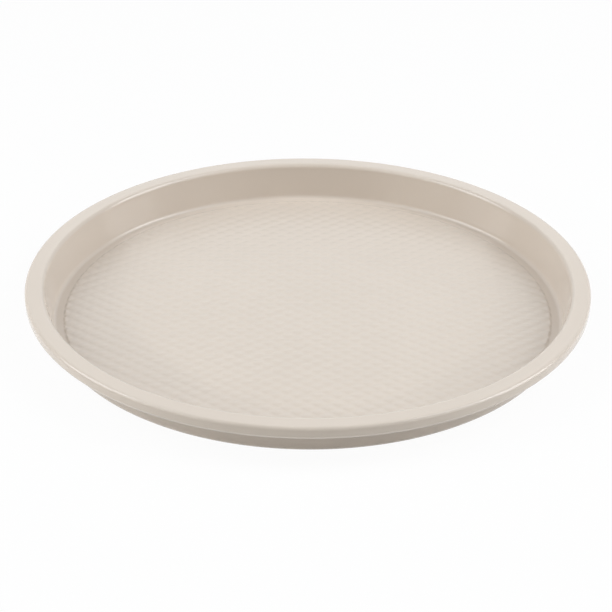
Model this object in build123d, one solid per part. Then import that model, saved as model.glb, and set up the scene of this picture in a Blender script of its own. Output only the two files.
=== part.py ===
from build123d import *
import math
import os

# A round pizza pan, pressed from one disc of coated steel sheet, with a
# steel hoop rolled into its rim. Millimetres, +Z up, and the origin is at
# the middle of the face that it stands on.

# The sheet
sheet_thickness = 0.8

# The dish
rim_diameter = 330.0
pan_height = 23.5
wall_draft = 9.2
floor_bend_radius = 2.5
shoulder_radius = 2.6

# The flat flange and the rolled edge outside it
flange_width = 7.1
fold_radius = 1.8
rim_depth = 7.2
curl_angle = 250.0

# The hoop inside the rolled edge
wire_diameter = 2.6
wire_clearance = 0.3
wire_joint_gap = 1.0
wire_joint_direction = 90.0

# The raised diamonds of the floor: they stand edge to edge in rows along X,
# each row half a diamond along from the last, up to a smooth border
diamond_length = 11.1
diamond_width = 8.55
diamond_height = 0.5
smooth_border = 5.4


# What follows from these. The radii of the bends are those of the sheet's
# middle layer, half a thickness from either face.
half_sheet = sheet_thickness / 2
bend_angle = 90.0 - wall_draft
bend = math.radians(bend_angle)
floor_bend = floor_bend_radius + half_sheet
shoulder = shoulder_radius - half_sheet
fold = fold_radius - half_sheet
curl_inner_radius = wire_diameter / 2 + wire_clearance
curl = curl_inner_radius + half_sheet
curl_outer_radius = curl + half_sheet

# The wall is as long as the height leaves it, and the floor as wide.
both_bends = floor_bend + shoulder
wall_length = (pan_height - sheet_thickness - both_bends * (1 - math.cos(bend))) / math.sin(bend)
wall_reach = both_bends * math.sin(bend) + wall_length * math.cos(bend)
floor_radius = rim_diameter / 2 - fold_radius - flange_width - wall_reach
skirt_length = rim_depth - fold_radius - curl_outer_radius
wire_ring_radius = rim_diameter / 2 - curl_outer_radius
wire_height = pan_height - rim_depth + curl_outer_radius
field_radius = floor_radius - smooth_border

# A place on the floor's pattern is (column, row), in half diamonds from the
# middle. Diamonds stand where the sum of the two is even, and their corners
# are one step away, here in order round the diamond.
corner_steps = [(1, 0), (0, 1), (-1, 0), (0, -1)]


def sheet_face(side):
    """One face of the sheet, from the axis of the pan to the cut edge inside
    the curl: side is 1 for the face that holds the food and -1 for the other."""
    shift = side * half_sheet
    level = half_sheet + shift
    floor = Line((0, level), (floor_radius, level))
    rise = JernArc(floor @ 1, floor % 1, floor_bend - shift, bend_angle)
    wall = PolarLine(rise @ 1, wall_length, direction=rise % 1)
    top = JernArc(wall @ 1, wall % 1, shoulder + shift, -bend_angle)
    flange = PolarLine(top @ 1, flange_width, direction=top % 1)
    drop = JernArc(flange @ 1, flange % 1, fold + shift, -90)
    skirt = PolarLine(drop @ 1, skirt_length, direction=drop % 1)
    roll = JernArc(skirt @ 1, skirt % 1, curl + shift, -curl_angle)
    return [floor, rise, wall, top, flange, drop, skirt, roll]


def plain_pan():
    """The pressed sheet with a flat floor: floor, wall, flange, skirt and curl
    in one section, turned once round the axis."""
    inside = sheet_face(1)
    outside = sheet_face(-1)
    cut_edge = Line(inside[-1] @ 1, outside[-1] @ 1)
    axis_edge = Line(outside[0] @ 0, inside[0] @ 0)
    section = Plane.XZ * make_face(Curve() + inside + outside + [cut_edge, axis_edge])
    return revolve(section, Axis.Z)


def floor_point(place, rise=0):
    """A place on the pattern as a point, on the floor or that much above it."""
    column, row = place
    return Vector(column * diamond_length / 2, row * diamond_width / 2, sheet_thickness + rise)


def corners(place):
    """The four corners of the diamond at a place."""
    column, row = place
    return [(column + right, row + up) for right, up in corner_steps]


def reach(place):
    """How far a place is from the middle of the pan."""
    return math.hypot(place[0] * diamond_length / 2, place[1] * diamond_width / 2)


def whole_diamonds():
    """The places of the diamonds that lie whole inside the smooth border."""
    columns = math.ceil(2 * field_radius / diamond_length)
    rows = math.ceil(2 * field_radius / diamond_width)
    places = [
        (column, row)
        for row in range(-rows, rows + 1)
        for column in range(-columns, columns + 1)
        if (column + row) % 2 == 0
    ]
    return [place for place in places if max(map(reach, corners(place))) <= field_radius]


def field_outline(places):
    """The corners round the whole field of diamonds, in order. An edge of the
    field is one that belongs to a single diamond, so nothing runs back along it."""
    edges = set()
    for place in places:
        ring = corners(place)
        edges.update(zip(ring, ring[1:] + ring[:1]))
    following = {start: end for start, end in edges if (end, start) not in edges}
    outline = [min(following)]
    while following[outline[-1]] != outline[0]:
        outline.append(following[outline[-1]])
    return outline


def diamond_faces(place):
    """The four sloping faces of one raised diamond, a low hipped point."""
    peak = floor_point(place, diamond_height)
    ring = [floor_point(corner) for corner in corners(place)]
    edges = zip(ring, ring[1:] + ring[:1])
    return [Face(Wire.make_polygon([start, end, peak])) for start, end in edges]


def pan_body():
    """The pan with its diamonds: the flat face that holds the food gives way to
    the sloping faces and to the smooth border that is left round them."""
    pan = plain_pan()
    floor_top = pan.faces().filter_by(GeomType.PLANE).sort_by_distance((0, 0, sheet_thickness))[0]
    kept = [face for face in pan.faces() if face != floor_top]
    places = whole_diamonds()
    field = Wire.make_polygon([floor_point(corner) for corner in field_outline(places)])
    border = Face(floor_top.outer_wire(), [field])
    sloping = [face for place in places for face in diamond_faces(place)]
    return Solid(Shell(kept + [border] + sloping))


def rim_wire():
    """The round hoop that stiffens the rim, bent from one length of wire
    whose ends nearly meet."""
    joint_angle = math.degrees(wire_joint_gap / wire_ring_radius)
    section = Plane.XZ * (Pos(wire_ring_radius, wire_height) * Circle(wire_diameter / 2))
    hoop = revolve(section, Axis.Z, 360 - joint_angle)
    return Rot(Z=wire_joint_direction + joint_angle / 2) * hoop


os.makedirs("parts", exist_ok=True)
for name, shape in {"pan_body": pan_body(), "rim_wire": rim_wire()}.items():
    export_step(shape, f"parts/{name}.step")
    print(name, round(shape.volume, 1), shape.bounding_box())
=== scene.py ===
import math
import bpy
import numpy as np
from mathutils import Matrix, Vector
from mathutils.geometry import delaunay_2d_cdt


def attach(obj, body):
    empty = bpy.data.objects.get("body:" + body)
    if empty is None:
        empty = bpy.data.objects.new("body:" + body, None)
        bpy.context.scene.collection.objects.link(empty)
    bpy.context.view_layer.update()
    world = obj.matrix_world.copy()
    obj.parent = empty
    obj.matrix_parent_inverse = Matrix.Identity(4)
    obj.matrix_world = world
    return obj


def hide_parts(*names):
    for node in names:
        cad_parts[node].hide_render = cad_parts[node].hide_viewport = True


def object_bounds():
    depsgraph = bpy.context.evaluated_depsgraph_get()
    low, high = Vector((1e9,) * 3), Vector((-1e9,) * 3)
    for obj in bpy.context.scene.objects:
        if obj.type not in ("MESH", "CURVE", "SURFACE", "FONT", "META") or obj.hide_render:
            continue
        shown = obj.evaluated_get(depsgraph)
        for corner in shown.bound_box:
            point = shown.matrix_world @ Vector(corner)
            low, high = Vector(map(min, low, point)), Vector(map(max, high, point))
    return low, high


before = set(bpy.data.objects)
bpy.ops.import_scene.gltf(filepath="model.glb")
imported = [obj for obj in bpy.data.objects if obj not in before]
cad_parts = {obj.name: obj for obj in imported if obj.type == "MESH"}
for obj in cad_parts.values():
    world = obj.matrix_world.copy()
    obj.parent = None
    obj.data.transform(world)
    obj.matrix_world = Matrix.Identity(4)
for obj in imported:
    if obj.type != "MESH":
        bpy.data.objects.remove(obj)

cadLow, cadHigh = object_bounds()
mm = 0.001  # the sizes of the pan are in millimetres, the scene is in metres
print("frame loaded:", ", ".join(sorted(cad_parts)))

# The pan: one sheet, pressed and rolled

panSheet = {
    "thickness": 0.8,
    "draft": 9.2,  # degrees that the wall leans outwards
    "footRadius": 2.5,  # bend from the floor to the wall, on the food side
    "shoulderRadius": 2.6,  # bend from the wall to the flange, on the food side
    "flange": 7.1,  # width of its flat part
    "foldRadius": 1.8,  # outside of the fold down from the flange
    "foldTurn": 90.0,  # degrees that the sheet turns there
    "rimDepth": 7.2,  # from the flange to the bottom of the roll
    "roll": 250.0,  # degrees that the edge turns round the hoop
    "rollRadius": 1.6,  # inside of the roll
    "edgeRound": 0.25,  # how far the cut edge of the sheet bulges
    "edgeAngles": (60, 30, 0, -30, -60),  # degrees round the bulge at which its points lie
    "runShares": (0.04, 0.5, 0.96, 1.0),  # points along a straight run, close at the ends
    "lift": 0.55,  # how far the patterned floor stands above the foot of the wall
    "ringLiftShare": 0.50,  # the share of it that the smooth ring rises by
    "ringEndShares": (0.04, 0.06),  # shares of the border between its inner and its outer two points
    "ringDropShare": 0.06,  # the share of its rise between the inner two
    "turnSteps": 360,  # steps round the pan
    "foodSideStep": 9.0,  # degrees per step along the bends that show
    "hiddenSideStep": 18.0,  # and along those that lie inside the roll and below
}

# The raised diamonds stand in rows along X, each row half a diamond along from
# the last. They are pressed through the sheet, so the underside has hollows.
# The pattern runs up to a circle, which cuts its outermost diamonds, and from
# there a step leads down to the smooth ring at the foot of the wall.
diamonds = {
    "length": 11.1,  # pitch along X
    "width": 8.55,  # pitch along Y
    "bumpLength": 8.8,  # the part of each diamond that rises
    "bumpWidth": 6.6,
    "rise": 0.40,
    "squareness": 1.4,  # 1 is a straight-sided diamond and 2 an oval
    "flatness": 4,  # the higher, the flatter the top and the steeper the sides
    "border": 5.4,  # from the pattern's circle to the foot of the wall
    "stepShare": 0.30,  # the share of it that the step takes
    "stepRingShares": (0.0, 0.25, 0.5, 0.75),  # where the step has rings of points
    "stepRingPoints": 2,  # points on such a ring for each step round the pan
    "stepClearance": 0.3,  # points of cut diamonds stay this far inside the circle
    "topSteps": 5,  # squares along each side of a diamond
    "undersideSteps": 3,
}


def floorAndWall():
    # The wall is as long as the height leaves it beside its two bends. The
    # floor's radius is the rim's less the fold, the flange and what the leaning
    # wall and its bends take.
    lean = math.radians(90 - panSheet["draft"])
    bends = panSheet["footRadius"] + panSheet["shoulderRadius"]
    height = cadHigh.z / mm - panSheet["thickness"]
    wall = (height - bends * (1 - math.cos(lean))) / math.sin(lean)
    reach = bends * math.sin(lean) + wall * math.cos(lean)
    return cadHigh.x / mm - panSheet["foldRadius"] - panSheet["flange"] - reach, wall


def patternRadius():
    # The floor's radius less the border.
    return floorAndWall()[0] - diamonds["border"]


def floorRing(start, half):
    # The smooth ring goes from the foot of the step to the foot of the wall, and
    # rises inwards. Of its four points, from the inside out, r is less than the
    # start by a share of the border, and z more by a share of what it rises.
    inner, outer = panSheet["ringEndShares"]
    width = 1 - diamonds["stepShare"]
    inwards = np.array([width, width - inner, outer, 0.0]) * diamonds["border"]
    rise = panSheet["ringLiftShare"] * panSheet["lift"]
    upwards = np.array([1.0, 1 - panSheet["ringDropShare"], 0.0, 0.0]) * rise
    return np.column_stack([start - inwards, half + upwards])


def sheetFace(side, degreesPerStep):
    # The middle line of the sheet is a chain of straight runs and bends. Along
    # a bend the heading turns evenly, and a point is the bend's centre less its
    # radius times the unit vector to the left of the heading, with the radius
    # negative where it bends to the right. The face lies half a thickness to
    # one side of that line: side is 1 on top and -1 underneath.
    half = panSheet["thickness"] / 2
    start, wall = floorAndWall()
    lean = 90 - panSheet["draft"]
    rollMiddle = panSheet["rollRadius"] + half
    skirt = panSheet["rimDepth"] - panSheet["foldRadius"] - rollMiddle - half
    chain = [
        # degrees to the left, and radius or length
        (lean, panSheet["footRadius"] + half),
        (0, wall),
        (-lean, panSheet["shoulderRadius"] - half),
        (0, panSheet["flange"]),
        (-panSheet["foldTurn"], panSheet["foldRadius"] - half),
        (0, skirt),
        (-panSheet["roll"], rollMiddle),
    ]
    point, heading = np.array([start, half]), 0.0
    line = [floorRing(start, half)]
    normals = [np.tile([0.0, 1.0], (len(line[0]), 1))]  # the ring is all but level
    for turn, size in chain:
        if turn:
            steps = math.ceil(abs(turn) / degreesPerStep)
            headings = heading + math.radians(turn) * np.linspace(0, 1, steps + 1)[1:]
            left = np.column_stack([-np.sin(headings), np.cos(headings)])
            radius = math.copysign(size, turn)
            centre = point + radius * np.array([-math.sin(heading), math.cos(heading)])
            points = centre - radius * left
        else:
            lengths = np.array(panSheet["runShares"]) * size
            headings = np.full(len(lengths), heading)
            left = np.column_stack([-np.sin(headings), np.cos(headings)])
            points = point + np.outer(lengths, [math.cos(heading), math.sin(heading)])
        line.append(points)
        normals.append(left)
        point, heading = points[-1], headings[-1]
    line, normals = np.concatenate(line), np.concatenate(normals)
    return line + side * half * normals, heading


def cutEdge(top, under, heading):
    # The cut edge is half an ellipse from one face to the other. At angle t its
    # point is the middle, plus the way from there to the top face times sin t,
    # plus the bulge times cos t.
    middle, across = (top + under) / 2, (top - under) / 2
    bulge = np.array([math.cos(heading), math.sin(heading)]) * panSheet["edgeRound"]
    angles = np.radians(panSheet["edgeAngles"])
    return middle + np.outer(np.sin(angles), across) + np.outer(np.cos(angles), bulge)


def lathe(section):
    # Every point (r, z) of the section goes once round the axis: the point at
    # angle t is (r cos t, r sin t, z). Rows follow the section, columns the turn.
    steps = panSheet["turnSteps"]
    angles = np.arange(steps) * 2 * math.pi / steps
    r, z = section[:, :1], section[:, 1:]
    points = np.stack([r * np.cos(angles), r * np.sin(angles), z + 0 * angles], axis=-1)
    row, column = np.meshgrid(np.arange(len(section) - 1), np.arange(steps), indexing="ij")
    following = (column + 1) % steps
    quads = np.stack([
        row * steps + column,
        (row + 1) * steps + column,
        (row + 1) * steps + following,
        row * steps + following,
    ], axis=-1)
    return points.reshape(-1, 3), quads.reshape(-1, 4)


# The pattern. A diamond's place is (a, b), counted along the two slanting
# directions of the rows.

codeSpan = 10 ** 6  # far above the numbers that are put in pairs


def pairCode(first, second):
    # One number for a pair: the first times the span, plus the second.
    return first * codeSpan + second


def allPlaces():
    # Two grids, of a and of b, each as far either way as widths fit across the
    # pattern.
    most = math.ceil(2 * patternRadius() / diamonds["width"])
    return np.meshgrid(np.arange(-most, most + 1), np.arange(-most, most + 1), indexing="ij")


def middleOf(a, b):
    # x is (a - b) half lengths and y is (a + b) half widths.
    return (a - b) * diamonds["length"] / 2, (a + b) * diamonds["width"] / 2


def placeOf(x, y):
    # The diamond that a point lies on: with x counted in lengths and y in
    # widths, a is their sum and b is y less x, both rounded.
    along, across = x / diamonds["length"], y / diamonds["width"]
    return np.round(across + along), np.round(across - along)


def wholeDiamonds():
    # A diamond is whole if its four corners are inside the pattern's circle.
    a, b = allPlaces()
    x, y = middleOf(a, b)
    sideReach = np.hypot(np.abs(x) + diamonds["length"] / 2, y)
    endReach = np.hypot(x, np.abs(y) + diamonds["width"] / 2)
    whole = np.maximum(sideReach, endReach) <= patternRadius()
    return a[whole], b[whole]


def bumpHeight(x, y):
    # d is 0 in the middle of the nearest bump and 1 on its outline, a rounded
    # diamond. The height is the rise times (1 - d to the power of the flatness).
    middleX, middleY = middleOf(*placeOf(x, y))
    along = np.abs((x - middleX) / (diamonds["bumpLength"] / 2)) ** diamonds["squareness"]
    across = np.abs((y - middleY) / (diamonds["bumpWidth"] / 2)) ** diamonds["squareness"]
    d = np.minimum((along + across) ** (1 / diamonds["squareness"]), 1)
    return diamonds["rise"] * (1 - d ** diamonds["flatness"])


def latticePoints(a, b, squares):
    # Each diamond is a grid of squares in (a, b), sheared to the slanting
    # directions, and reaches half a place either way from its middle.
    # Neighbours share the points along their sides, so each point has one code.
    i, j = np.meshgrid(np.arange(squares + 1), np.arange(squares + 1), indexing="ij")
    codes = pairCode(a[:, None, None] * squares + i, b[:, None, None] * squares + j)
    codes, place = np.unique(codes, return_inverse=True)
    fineA = np.round(codes / codeSpan)
    fineB = codes - fineA * codeSpan
    x, y = middleOf(fineA / squares - 1 / 2, fineB / squares - 1 / 2)
    points = np.column_stack([x, y, bumpHeight(x, y)])
    return points, codes, place.reshape(-1, squares + 1, squares + 1)


def diamondField(whole, squares, level):
    # The whole diamonds, standing on the given level.
    points, codes, place = latticePoints(*whole, squares)
    quads = np.stack([
        place[:, :-1, :-1], place[:, 1:, :-1], place[:, 1:, 1:], place[:, :-1, 1:],
    ], axis=-1)
    return points + [0, 0, level], quads.reshape(-1, 4), codes


def cutDiamonds(fieldCodes, squares, level):
    # Points of the diamonds that the circle cuts, and rings of points down the
    # step. With s going smoothly from 0 at the top of the step to 1 at its
    # foot, the height is the level, plus the bump times (1 - s), less s times
    # what the lift leaves above the smooth ring.
    reach, stepWidth = patternRadius(), diamonds["stepShare"] * diamonds["border"]
    a, b = allPlaces()
    near = np.abs(np.hypot(*middleOf(a, b)) - reach) < diamonds["length"]
    inside, codes = latticePoints(a[near], b[near], squares)[:2]
    clear = np.hypot(inside[:, 0], inside[:, 1]) < reach - diamonds["stepClearance"]
    inside = inside[clear & ~np.isin(codes, fieldCodes), :2]
    count = diamonds["stepRingPoints"] * panSheet["turnSteps"]
    turn = np.linspace(0, 2 * math.pi, count, endpoint=False)
    r = reach + np.array(diamonds["stepRingShares"])[:, None] * stepWidth
    rings = np.stack([r * np.cos(turn), r * np.sin(turn)], axis=-1)
    x, y = np.concatenate([inside, rings.reshape(-1, 2)]).T
    share = np.clip((np.hypot(x, y) - reach) / stepWidth, 0, 1)
    s = share ** 2 * (3 - 2 * share)
    fall = panSheet["lift"] * (1 - panSheet["ringLiftShare"])
    return np.column_stack([x, y, level + bumpHeight(x, y) * (1 - s) - fall * s])


def openEdges(quads):
    # The edges round the field are those that no neighbour runs back along.
    start, end = quads.ravel(), np.roll(quads, -1, axis=1).ravel()
    alone = ~np.isin(pairCode(start, end), pairCode(end, start))
    return start[alone], end[alone]


insideEdges = 1  # asks the triangulation for what lies inside the given edges
sameSpot = 1e-7  # points as close as this are one


def floorBorder(field, quads, whole, circle, between):
    # The floor from the whole diamonds out to the given circle of the smooth
    # ring: triangles over both outlines and the points between, less those
    # whose middle lies on a whole diamond. Their numbers run through the
    # field's points, then the circle's and then those between.
    start, end = openEdges(quads)
    outline = np.unique(start)
    flat = np.concatenate([field[outline], circle, between])[:, :2]
    fieldEdges = np.searchsorted(outline, np.column_stack([start, end]))
    ring = len(outline) + np.arange(len(circle))
    edges = np.concatenate([fieldEdges, np.column_stack([ring, np.roll(ring, -1)])])
    result = delaunay_2d_cdt(flat.tolist(), edges.tolist(), [], insideEdges, sameSpot)
    # result[2] has the triangles, and result[3] the given point behind each of
    # the triangulation's points. No two of the given points are one.
    triangles = np.array(result[3])[:, 0][np.array(result[2])]
    middles = flat[triangles].mean(axis=1)
    covered = np.isin(pairCode(*placeOf(middles[:, 0], middles[:, 1])), pairCode(*whole))
    triangles = triangles[~covered]
    first = flat[triangles[:, 1]] - flat[triangles[:, 0]]
    second = flat[triangles[:, 2]] - flat[triangles[:, 0]]
    clockwise = first[:, 0] * second[:, 1] < first[:, 1] * second[:, 0]
    triangles[clockwise] = triangles[clockwise][:, ::-1]
    others = len(field) + np.arange(len(circle) + len(between))
    return np.concatenate([outline, others])[triangles]


def meshObject(name, points, faces):
    # points are in millimetres. faces is a list of arrays, each with one row of
    # point numbers per face.
    mesh = bpy.data.meshes.new(name)
    corners = np.concatenate([rows.ravel() for rows in faces])
    sizes = np.concatenate([np.full(len(rows), rows.shape[1]) for rows in faces])
    mesh.vertices.add(len(points))
    mesh.vertices.foreach_set("co", (points * mm).astype(np.float32).ravel())
    mesh.loops.add(len(corners))
    mesh.loops.foreach_set("vertex_index", corners.astype(np.int32))
    mesh.polygons.add(len(sizes))
    starts = np.cumsum(sizes) - sizes
    mesh.polygons.foreach_set("loop_start", starts.astype(np.int32))
    mesh.polygons.foreach_set("use_smooth", np.ones(len(sizes), bool))
    mesh.update(calc_edges=True)
    mesh.validate()
    piece = bpy.data.objects.new(name, mesh)
    bpy.context.scene.collection.objects.link(piece)
    return piece


def makePan():
    # The shell runs from the foot of the step over the top, round the cut edge
    # and back underneath. A patterned face closes it above, and one below.
    top = sheetFace(1, panSheet["foodSideStep"])[0]
    under, heading = sheetFace(-1, panSheet["hiddenSideStep"])
    edge = cutEdge(top[-1], under[-1], heading)
    shell, shellQuads = lathe(np.concatenate([top, edge, under[::-1]]))
    steps, whole = panSheet["turnSteps"], wholeDiamonds()
    floorFaces = [
        # squares along a diamond, level, where the shell's ring that it joins
        # starts, and 1 for a face that looks up or -1 for one that looks down
        (diamonds["topSteps"], panSheet["thickness"] + panSheet["lift"], 0, 1),
        (diamonds["undersideSteps"], panSheet["lift"], len(shell) - steps, -1),
    ]
    points, faces = [shell], [shellQuads]
    for squares, level, ringAt, side in floorFaces:
        field, quads, codes = diamondField(whole, squares, level)
        between = cutDiamonds(codes, squares, level)
        border = floorBorder(field, quads, whole, shell[ringAt:ringAt + steps], between)
        fieldAt = sum(len(part) for part in points)
        numbers = np.concatenate([
            fieldAt + np.arange(len(field)),
            ringAt + np.arange(steps),
            fieldAt + len(field) + np.arange(len(between)),
        ])
        faces += [numbers[quads][:, ::side], numbers[border][:, ::side]]
        points += [field, between]
    pan = meshObject("panBody", np.concatenate(points), faces)
    print("pan pressed:", len(whole[0]), "whole diamonds,", len(pan.data.polygons), "faces")
    return pan


# Finishes

grainNoise = {
    "fineDetail": 3.0,  # octaves of the fine grain
    "driftDetail": 2.0,  # octaves of the slow drift
    "driftEnds": (0.3, 0.7),  # the drift takes the colour from deep to pale between these
}


def newMaterial(name):
    material = bpy.data.materials.new(name)
    material.use_nodes = True
    nodes = material.node_tree.nodes
    return material, nodes, material.node_tree.links, nodes["Principled BSDF"]


def grainGroup():
    # Two layers of noise on the object's own coordinates, of the given sizes in
    # millimetres. Height is fine grain, and Mottle a slow drift from 0 to 1.
    group = bpy.data.node_groups.new("fineGrain", "ShaderNodeTree")
    for name in ("Grain size", "Drift size"):
        group.interface.new_socket(name, in_out="INPUT", socket_type="NodeSocketFloat")
    for name in ("Height", "Mottle"):
        group.interface.new_socket(name, in_out="OUTPUT", socket_type="NodeSocketFloat")
    nodes, links = group.nodes, group.links
    start, end = nodes.new("NodeGroupInput"), nodes.new("NodeGroupOutput")
    place = nodes.new("ShaderNodeTexCoord")
    layers = [
        ("Grain size", "Height", grainNoise["fineDetail"]),
        ("Drift size", "Mottle", grainNoise["driftDetail"]),
    ]
    for source, target, detail in layers:
        perMetre = nodes.new("ShaderNodeMath")
        perMetre.operation = "DIVIDE"
        perMetre.inputs[0].default_value = 1 / mm
        links.new(start.outputs[source], perMetre.inputs[1])
        noise = nodes.new("ShaderNodeTexNoise")
        noise.inputs["Detail"].default_value = detail
        links.new(place.outputs["Object"], noise.inputs["Vector"])
        links.new(perMetre.outputs[0], noise.inputs["Scale"])
        links.new(noise.outputs["Fac"], end.inputs[target])
    return group


def grainyMaterial(name, grain, finish):
    # What both finishes share: a colour that drifts from deep to pale, and the
    # fine grain as a bump.
    material, nodes, links, shader = newMaterial(name)
    fine = nodes.new("ShaderNodeGroup")
    fine.node_tree = grain
    fine.inputs["Grain size"].default_value = finish["grainSize"]
    fine.inputs["Drift size"].default_value = finish["driftSize"]
    tone = nodes.new("ShaderNodeValToRGB")
    deepEnd, paleEnd = tone.color_ramp.elements
    deepEnd.color, paleEnd.color = finish["deep"], finish["pale"]
    deepEnd.position, paleEnd.position = grainNoise["driftEnds"]
    links.new(fine.outputs["Mottle"], tone.inputs["Fac"])
    links.new(tone.outputs["Color"], shader.inputs["Base Color"])
    bump = nodes.new("ShaderNodeBump")
    bump.inputs["Distance"].default_value = finish["grainHeight"] * mm
    links.new(fine.outputs["Height"], bump.inputs["Height"])
    links.new(bump.outputs["Normal"], shader.inputs["Normal"])
    return material, shader, fine


coating = {
    "pale": (0.565, 0.475, 0.390, 1),
    "deep": (0.550, 0.461, 0.377, 1),
    "haze": 3.2,  # refractive index of the pearly body below the clear top
    "roughLow": 0.93,  # roughness of that body, from the grain's lows to its highs
    "roughHigh": 1.0,
    "gloss": 1.0,  # share of the clear top
    "glossRough": 0.10,
    "grainSize": 0.45,
    "driftSize": 45.0,
    "grainHeight": 0.003,
}


def coatedSteel(grain):
    material, shader, fine = grainyMaterial("coatedSteel", grain, coating)
    nodes, links = material.node_tree.nodes, material.node_tree.links
    rough = nodes.new("ShaderNodeMapRange")
    rough.inputs["To Min"].default_value = coating["roughLow"]
    rough.inputs["To Max"].default_value = coating["roughHigh"]
    links.new(fine.outputs["Height"], rough.inputs["Value"])
    links.new(rough.outputs["Result"], shader.inputs["Roughness"])
    shader.inputs["IOR"].default_value = coating["haze"]
    shader.inputs["Coat Weight"].default_value = coating["gloss"]
    shader.inputs["Coat Roughness"].default_value = coating["glossRough"]
    return material


hoopSteel = {
    "pale": (0.42, 0.41, 0.40, 1),
    "deep": (0.25, 0.24, 0.23, 1),
    "rough": 0.38,
    "grainSize": 0.5,
    "driftSize": 9.0,
    "grainHeight": 0.01,
}


def bareSteel(grain):
    material, shader = grainyMaterial("bareSteel", grain, hoopSteel)[:2]
    shader.inputs["Metallic"].default_value = 1
    shader.inputs["Roughness"].default_value = hoopSteel["rough"]
    return material


grain = grainGroup()
panBody = makePan()
panBody.data.materials.append(coatedSteel(grain))
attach(panBody, "root")
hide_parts("pan_body")

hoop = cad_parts["rim_wire"]
hoop.data.materials.clear()
hoop.data.materials.append(bareSteel(grain))
print("finishes on")

# Studio, with its sizes in metres

studio = {
    "floorSize": 6.0,
    "floorColour": (0.90, 0.90, 0.90, 1),
    "floorLift": 0.95,  # share of the floor that is plain white to the camera
    "ambient": 0.02,  # strength of the world, except to the camera and in reflections
    "softboxDistance": 1.6,
}
softboxes = [
    # name, degrees round from the front, degrees up, width, height, watts, colour
    ("sideLeft", -90, 35, 0.8, 0.8, 9.0, (0.98, 1.0, 1.01)),
    ("sideRight", 90, 35, 0.8, 0.8, 11.0, (0.98, 1.0, 1.01)),
    ("highLeft", -90, 58, 0.8, 0.8, 4.3, (0.93, 1.0, 1.07)),
    ("highRight", 90, 58, 0.8, 0.8, 5.5, (0.93, 1.0, 1.07)),
    ("top", 0, 90, 0.8, 0.8, 1.1, (1.0, 1.0, 1.0)),
    ("lowLeft", -90, 17, 0.8, 0.16, 2.5, (1.0, 1.0, 1.0)),
    ("lowRight", 90, 17, 0.8, 0.16, 2.3, (1.0, 1.0, 1.0)),
    ("stripLeft", -52, 21, 0.9, 0.10, 3.2, (1.01, 1.0, 0.93)),
    ("stripRight", 52, 23, 0.9, 0.10, 1.7, (1.01, 1.0, 0.93)),
    ("fillLeft", -45, 35, 0.8, 0.8, 0.9, (1.05, 1.0, 0.88)),
    ("fillFront", 0, 35, 0.8, 0.8, 0.6, (1.05, 1.0, 0.88)),
    ("back", 180, 35, 0.8, 0.8, 0.5, (1.0, 1.0, 1.0)),
]


def whiteForCamera(nodes, links, share):
    # The given share for rays from the camera, reflected or let through, else 0.
    path = nodes.new("ShaderNodeLightPath")
    total = path.outputs["Is Camera Ray"]
    for output in ("Is Glossy Ray", "Is Transmission Ray"):
        either = nodes.new("ShaderNodeMath")
        either.operation = "MAXIMUM"
        links.new(total, either.inputs[0])
        links.new(path.outputs[output], either.inputs[1])
        total = either.outputs[0]
    scaled = nodes.new("ShaderNodeMath")
    scaled.operation = "MULTIPLY"
    scaled.inputs[1].default_value = share
    links.new(total, scaled.inputs[0])
    return scaled.outputs[0]


def makeWorld():
    world = bpy.data.worlds.new("studioWorld")
    bpy.context.scene.world = world
    world.use_nodes = True
    nodes, links = world.node_tree.nodes, world.node_tree.links
    plain = nodes["Background"]
    plain.inputs["Color"].default_value = (1, 1, 1, 1)
    plain.inputs["Strength"].default_value = studio["ambient"]
    white = nodes.new("ShaderNodeBackground")
    white.inputs["Color"].default_value = (1, 1, 1, 1)
    mix = nodes.new("ShaderNodeMixShader")
    links.new(whiteForCamera(nodes, links, 1), mix.inputs["Fac"])
    links.new(plain.outputs[0], mix.inputs[1])
    links.new(white.outputs[0], mix.inputs[2])
    links.new(mix.outputs[0], nodes["World Output"].inputs["Surface"])


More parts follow.
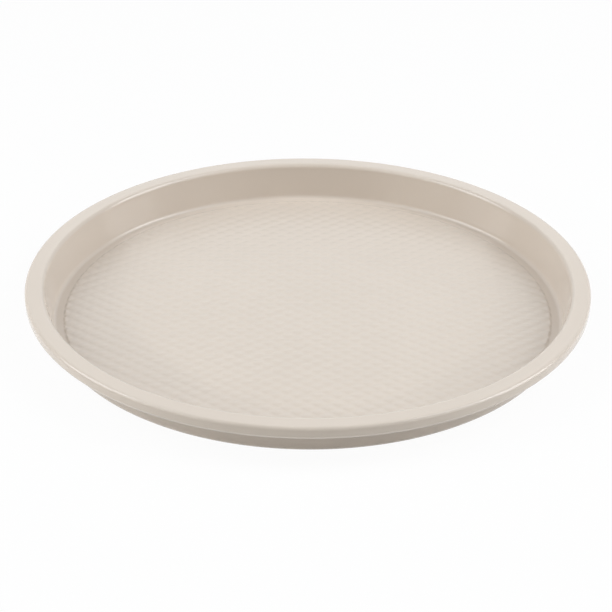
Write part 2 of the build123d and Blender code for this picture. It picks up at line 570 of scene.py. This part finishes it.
def makeFloor():
    half = studio["floorSize"] / 2 / mm
    corners = np.array([[-half, -half, 0], [half, -half, 0], [half, half, 0], [-half, half, 0]])
    floor = meshObject("studioFloor", corners, [np.array([[0, 1, 2, 3]])])
    material, nodes, links, shader = newMaterial("studioPaper")
    shader.inputs["Base Color"].default_value = studio["floorColour"]
    shader.inputs["Roughness"].default_value = 1
    shader.inputs["Specular IOR Level"].default_value = 0
    white = nodes.new("ShaderNodeEmission")
    mix = nodes.new("ShaderNodeMixShader")
    links.new(whiteForCamera(nodes, links, studio["floorLift"]), mix.inputs["Fac"])
    links.new(shader.outputs[0], mix.inputs[1])
    links.new(white.outputs[0], mix.inputs[2])
    links.new(mix.outputs[0], nodes["Material Output"].inputs["Surface"])
    floor.data.materials.append(material)


def makeSoftbox(name, turn, up, width, height, watts, colour):
    # From straight above the pan, the softbox is tipped down to the front and
    # then turned to its side, always facing the origin.
    lamp = bpy.data.lights.new(name, "AREA")
    lamp.shape = "RECTANGLE"
    lamp.size, lamp.size_y = width, height
    lamp.energy = watts
    lamp.color = colour
    box = bpy.data.objects.new(name, lamp)
    bpy.context.scene.collection.objects.link(box)
    tipped = Matrix.Rotation(math.radians(90 - up), 4, "X")
    turned = Matrix.Rotation(math.radians(turn), 4, "Z") @ tipped
    box.matrix_world = turned @ Matrix.Translation((0, 0, studio["softboxDistance"]))


cameraView = {
    "aim": (-1.0, -9.23, 7.05),  # millimetres, as the distance and the lens
    "distance": 1016.9,
    "down": 29.295,  # degrees that it looks down
    "tilt": 0.376,  # degrees that it leans to the left
    "lens": 101.75,
}


def makeCamera():
    data = bpy.data.cameras.new("camera")
    data.lens = cameraView["lens"]
    camera = bpy.data.objects.new("camera", data)
    bpy.context.scene.collection.objects.link(camera)
    turned = Matrix.Rotation(math.radians(90 - cameraView["down"]), 4, "X")
    leaned = turned @ Matrix.Rotation(math.radians(cameraView["tilt"]), 4, "Z")
    aim = Matrix.Translation([c * mm for c in cameraView["aim"]])
    camera.matrix_world = aim @ leaned @ Matrix.Translation((0, 0, cameraView["distance"] * mm))
    bpy.context.scene.camera = camera


makeWorld()
makeFloor()
for softbox in softboxes:
    makeSoftbox(*softbox)
makeCamera()
bpy.context.scene.view_settings.view_transform = "Standard"
print("studio lit")
